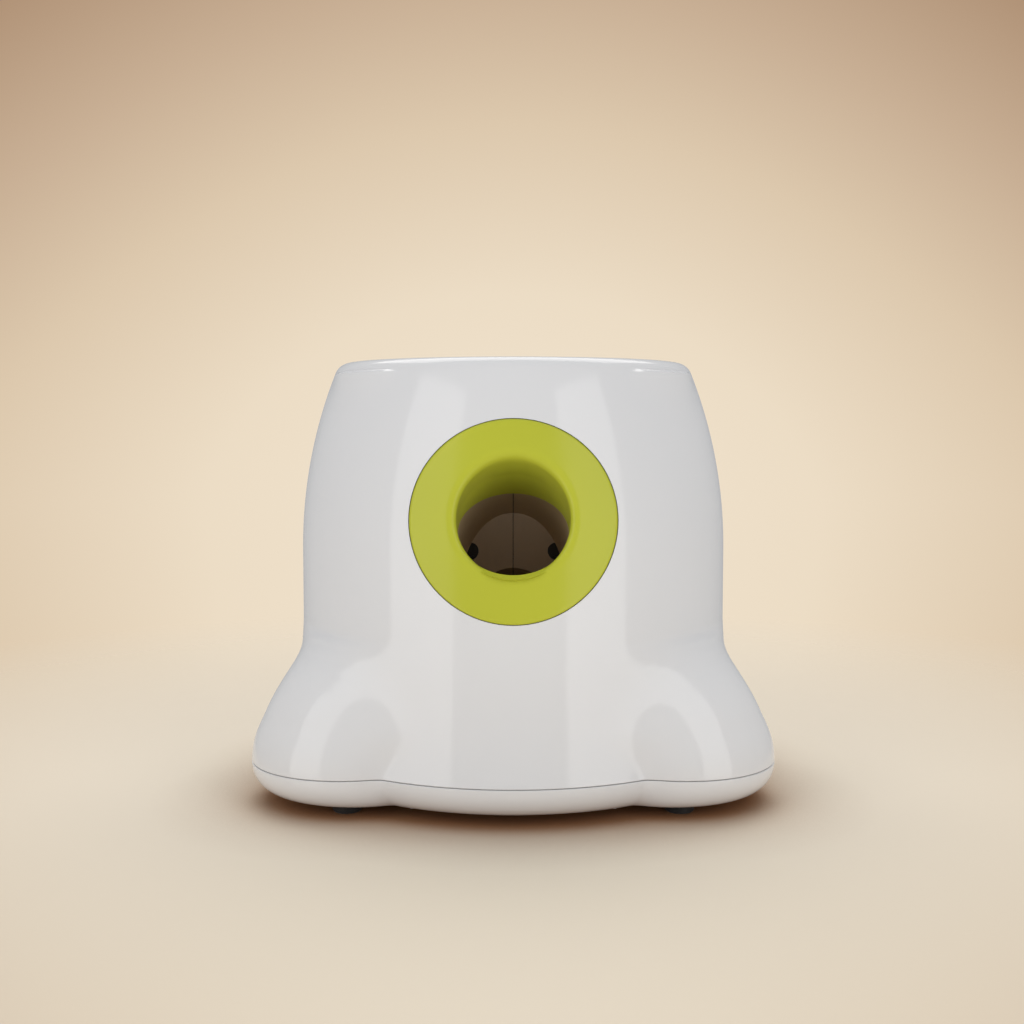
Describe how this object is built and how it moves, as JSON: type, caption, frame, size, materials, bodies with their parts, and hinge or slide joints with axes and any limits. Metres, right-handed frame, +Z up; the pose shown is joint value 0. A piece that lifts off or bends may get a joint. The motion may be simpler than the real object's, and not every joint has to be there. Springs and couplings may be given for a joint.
{
  "type": "automatic dog ball launcher",
  "caption": "Rounded drum with an open hopper on top, a slanted launch mouth in front and a wide lobed base; a geared motor draws back a spring-driven striker.",
  "frame": {"origin": "centre of the bounding box at floor level; the drum's axis stands 15 mm in front of it, at y = -0.015", "axes": "+Z up, -Y the way the launch mouth faces, +X to the right of someone who looks at the mouth"},
  "size_m": [0.2824, 0.2911, 0.236],
  "materials": {
    "shell_plastic": "glossy moulded white",
    "chamber_plastic": "satin moulded white",
    "ring_plastic": "glossy moulded yellow-green",
    "grey_plastic": "fine matte grain",
    "dark_plastic": "fine matte grain",
    "natural_plastic": "smooth natural acetal",
    "light_plastic": "clear tinted green",
    "pad_rubber": "moulded rubber",
    "foot_rubber": "moulded rubber",
    "steel": "bright zinc plate",
    "plate_steel": "satin galvanised sheet",
    "nickel": "bright nickel plate",
    "brass": "machined",
    "board": "solder mask",
    "cell_wrap": "printless shrink wrap",
    "red_wire": "extruded insulation",
    "grey_wire": "extruded insulation"
  },
  "bodies": {
    "launcher": {"upper_shell": "shell_plastic", "base_tray": "shell_plastic", "hopper_funnel": "shell_plastic", "mouth_ring": "ring_plastic", "chamber_left": "chamber_plastic", "chamber_right": "chamber_plastic", "launch_spring": "steel", "spring_cap": "grey_plastic", "drive_motor": "steel", "motor_end_cap": "dark_plastic", "gearbox_plate_left": "plate_steel", "gearbox_plate_right": "plate_steel", "gear_axles": "steel", "gearbox_spacers": "steel", "position_sensor": "board", "ball_sensor_emitter": "dark_plastic", "ball_sensor_receiver": "dark_plastic", "control_board": "board", "board_components": "dark_plastic", "buzzer": "dark_plastic", "tact_switch": "grey_plastic", "control_bezel": "grey_plastic", "indicator_lights": "light_plastic", "dc_jack": "dark_plastic", "jack_nut": "nickel", "jack_contacts": "nickel", "battery_cover": "shell_plastic", "battery_cells": "cell_wrap", "battery_contacts": "nickel", "foot_left": "foot_rubber", "foot_right": "foot_rubber", "foot_rear": "foot_rubber", "base_screws": "steel", "chamber_screws": "steel", "chamber_leg_screws": "steel", "hopper_screws": "steel", "ring_screws": "steel", "gearbox_screws": "steel", "board_screws": "steel", "cover_screws": "steel", "motor_leads": "red_wire", "battery_leads": "red_wire", "sensor_leads": "grey_wire", "jack_leads": "red_wire"},
    "striker": {"striker_cup": "natural_plastic", "striker_pad": "pad_rubber", "rack_bar": "steel"},
    "sector": {"sector_gear": "natural_plastic", "sector_magnet": "nickel"},
    "middle_wheel": {"middle_gear": "natural_plastic"},
    "first_wheel": {"first_gear": "natural_plastic"},
    "motor_shaft": {"motor_pinion": "brass"},
    "button": {"power_button": "grey_plastic", "button_plunger": "dark_plastic"}
  },
  "joints": [
    {"name": "sector_turn", "type": "hinge", "parent": "launcher", "child": "sector", "pos_m": [0, 0.07253, 0.12429], "axis": [1, 0, 0], "range_deg": [0, 103.13]},
    {"name": "striker_slide", "type": "slide", "parent": "launcher", "child": "striker", "axis": [0, 0.9135, -0.4067], "range_m": [0, 0.036], "stiffness_N_per_m": 1470, "springref_m": -0.002, "deforming": ["launch_spring"]},
    {"name": "middle_wheel_turn", "type": "hinge", "parent": "launcher", "child": "middle_wheel", "pos_m": [0, 0.04875, 0.13709], "axis": [1, 0, 0], "range_deg": [-453.8, 0]},
    {"name": "first_wheel_turn", "type": "hinge", "parent": "launcher", "child": "first_wheel", "pos_m": [0, 0.04398, 0.16163], "axis": [1, 0, 0], "range_deg": [0, 1815.1]},
    {"name": "motor_shaft_turn", "type": "hinge", "parent": "launcher", "child": "motor_shaft", "pos_m": [0, 0.06197, 0.14427], "axis": [1, 0, 0], "range_deg": [-7260.4, 0]},
    {"name": "button_press", "type": "slide", "parent": "launcher", "child": "button", "axis": [0, -1, 0], "range_m": [0, 0.0008], "stiffness_N_per_m": 1500, "springref_m": -0.0002}
  ],
  "couplings": [
    {"joint": "striker_slide", "follows": "sector_turn", "m_per_rad": 0.02},
    {"joint": "middle_wheel_turn", "follows": "sector_turn", "ratio": -4.4},
    {"joint": "first_wheel_turn", "follows": "sector_turn", "ratio": 17.6},
    {"joint": "motor_shaft_turn", "follows": "sector_turn", "ratio": -70.4}
  ]
}
